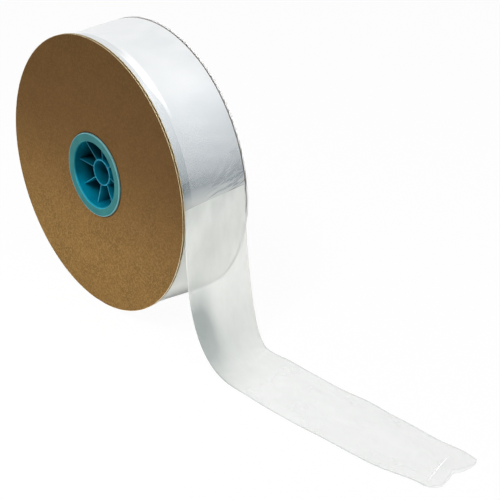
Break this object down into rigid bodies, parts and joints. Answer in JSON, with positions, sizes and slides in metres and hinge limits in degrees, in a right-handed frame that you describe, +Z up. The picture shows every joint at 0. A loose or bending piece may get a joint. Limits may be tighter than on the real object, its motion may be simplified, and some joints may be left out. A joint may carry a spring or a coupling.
{
  "type": "roll of poly tubing",
  "caption": "Lay-flat plastic tubing wound on a paperboard core between two round corrugated boards, each held by a moulded plug with an axle bore, with its free end hanging down and lying out flat.",
  "frame": {"origin": "on the roll's axis, halfway between the two plugs", "axes": "+Y along the roll's axis towards the back board, +Z up, +X the way the free end runs out"},
  "size_m": [0.6191, 0.0892, 0.2916],
  "materials": {
    "film": "clear polyethylene film, milky where it is wound",
    "core_board": "plain spiral-wound paperboard",
    "kraft_board": "matt brown kraft liner, faintly mottled",
    "plug_plastic": "satin blue-green moulded plastic"
  },
  "bodies": {
    "root": {"tubing": "film", "core_tube": "core_board", "front_disc": "kraft_board", "back_disc": "kraft_board", "front_plug": "plug_plastic", "back_plug": "plug_plastic"}
  },
  "joints": []
}
